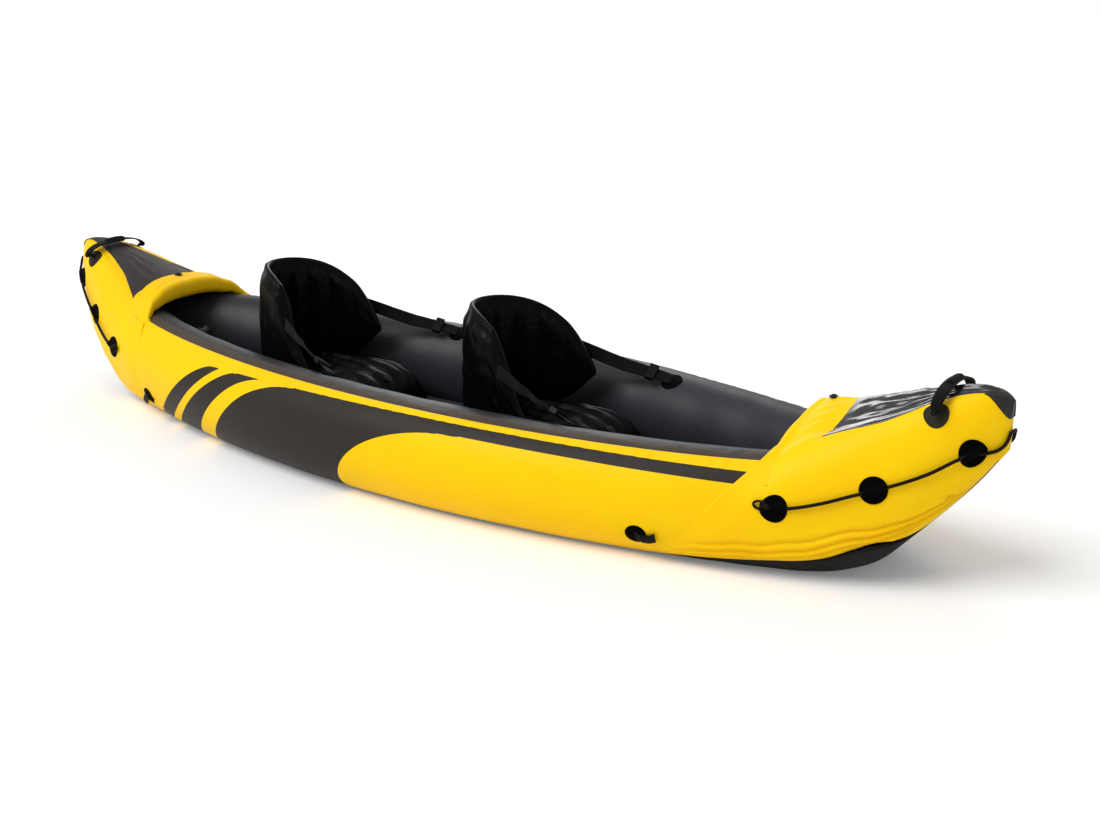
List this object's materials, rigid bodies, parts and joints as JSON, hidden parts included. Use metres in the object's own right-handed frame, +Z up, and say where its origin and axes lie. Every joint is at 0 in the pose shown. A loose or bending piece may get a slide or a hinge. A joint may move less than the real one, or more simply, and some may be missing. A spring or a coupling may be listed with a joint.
{
  "type": "inflatable tandem kayak",
  "caption": "Tandem inflatable kayak with side tubes, ribbed air floor, covered ends, strapped wrap-round seats, grab lines and swinging carrying handles.",
  "frame": {"origin": "on the ground under the middle of the hull", "axes": "+X towards the bow, +Y to port, +Z up"},
  "size_m": [3.1349, 0.9094, 0.504],
  "materials": {
    "yellow_vinyl": "satin",
    "grey_vinyl": "satin",
    "charcoal_vinyl": "satin",
    "seat_vinyl": "gloss",
    "black_patch": "matte",
    "rope": "matte",
    "webbing": "matte",
    "black_plastic": "satin",
    "valve_plastic": "satin"
  },
  "bodies": {
    "hull": {"starboard_tube": "grey_vinyl", "port_tube": "grey_vinyl", "starboard_side_panel": "yellow_vinyl", "port_side_panel": "yellow_vinyl", "bottom_panel": "charcoal_vinyl", "ibeam_floor": "grey_vinyl", "bow_cover": "yellow_vinyl", "stern_cover": "yellow_vinyl", "bow_deck": "charcoal_vinyl", "stern_deck": "charcoal_vinyl", "bow_roll": "yellow_vinyl", "stern_roll": "yellow_vinyl", "bow_nose_patch": "charcoal_vinyl", "stern_nose_patch": "charcoal_vinyl", "bow_line_patches": "black_patch", "stern_line_patches": "black_patch", "bow_grab_line": "rope", "stern_grab_line": "rope", "bow_line_knots": "rope", "stern_line_knots": "rope", "bow_handle_patches": "black_patch", "stern_handle_patches": "black_patch", "bow_handle_pins": "black_plastic", "stern_handle_pins": "black_plastic", "tie_down_patches": "black_patch", "tie_down_tabs": "webbing", "front_cushion": "seat_vinyl", "rear_cushion": "seat_vinyl", "front_seat_hinge": "black_plastic", "rear_seat_hinge": "black_plastic", "front_starboard_strap": "webbing", "front_port_strap": "webbing", "rear_starboard_strap": "webbing", "rear_port_strap": "webbing", "front_strap_patches": "black_patch", "rear_strap_patches": "black_patch", "front_strap_buckles": "black_plastic", "rear_strap_buckles": "black_plastic", "starboard_valve": "valve_plastic", "port_valve": "valve_plastic", "floor_valve": "valve_plastic", "bow_roll_valve": "valve_plastic", "stern_roll_valve": "valve_plastic", "front_cushion_valve": "valve_plastic", "rear_cushion_valve": "valve_plastic"},
    "front_backrest": {"front_backrest": "seat_vinyl", "front_backrest_valve": "valve_plastic"},
    "rear_backrest": {"rear_backrest": "seat_vinyl", "rear_backrest_valve": "valve_plastic"},
    "bow_handle": {"bow_handle": "webbing"},
    "stern_handle": {"stern_handle": "webbing"},
    "starboard_valve_plug": {"starboard_valve_plug": "valve_plastic"},
    "starboard_valve_cap": {"starboard_valve_cap": "valve_plastic"},
    "port_valve_plug": {"port_valve_plug": "valve_plastic"},
    "port_valve_cap": {"port_valve_cap": "valve_plastic"},
    "floor_valve_plug": {"floor_valve_plug": "valve_plastic"},
    "floor_valve_cap": {"floor_valve_cap": "valve_plastic"}
  },
  "joints": [
    {"name": "front_backrest_recline", "type": "hinge", "parent": "hull", "child": "front_backrest", "pos_m": [0.066, 0, 0.1193], "axis": [0, 1, 0], "range_deg": [-18, 6], "deforming": ["front_starboard_strap", "front_port_strap"]},
    {"name": "rear_backrest_recline", "type": "hinge", "parent": "hull", "child": "rear_backrest", "pos_m": [-0.699, 0, 0.1193], "axis": [0, 1, 0], "range_deg": [-18, 6], "deforming": ["rear_starboard_strap", "rear_port_strap"]},
    {"name": "bow_handle_swing", "type": "hinge", "parent": "hull", "child": "bow_handle", "pos_m": [1.41521, 0, 0.44502], "axis": [0, 1, 0], "range_deg": [-40, 12]},
    {"name": "stern_handle_swing", "type": "hinge", "parent": "hull", "child": "stern_handle", "pos_m": [-1.41518, 0, 0.41133], "axis": [0, 1, 0], "range_deg": [-12, 40]},
    {"name": "starboard_plug_turn", "type": "hinge", "parent": "hull", "child": "starboard_valve_plug", "pos_m": [-0.87678, -0.13334, 0.24613], "axis": [0.2169, 0.7219, 0.6571], "range_deg": [0, 540]},
    {"name": "starboard_cap_turn", "type": "hinge", "parent": "starboard_valve_plug", "child": "starboard_valve_cap", "pos_m": [-0.87678, -0.13334, 0.24613], "axis": [0.2169, 0.7219, 0.6571], "range_deg": [0, 540]},
    {"name": "port_plug_turn", "type": "hinge", "parent": "hull", "child": "port_valve_plug", "pos_m": [-0.87678, 0.13334, 0.24613], "axis": [0.2169, -0.7219, 0.6571], "range_deg": [0, 540]},
    {"name": "port_cap_turn", "type": "hinge", "parent": "port_valve_plug", "child": "port_valve_cap", "pos_m": [-0.87678, 0.13334, 0.24613], "axis": [0.2169, -0.7219, 0.6571], "range_deg": [0, 540]},
    {"name": "floor_plug_turn", "type": "hinge", "parent": "hull", "child": "floor_valve_plug", "pos_m": [-0.87627, 0, 0.0868], "axis": [0, 0, 1], "range_deg": [0, 540]},
    {"name": "floor_cap_turn", "type": "hinge", "parent": "floor_valve_plug", "child": "floor_valve_cap", "pos_m": [-0.87627, 0, 0.0868], "axis": [0, 0, 1], "range_deg": [0, 540]}
  ]
}
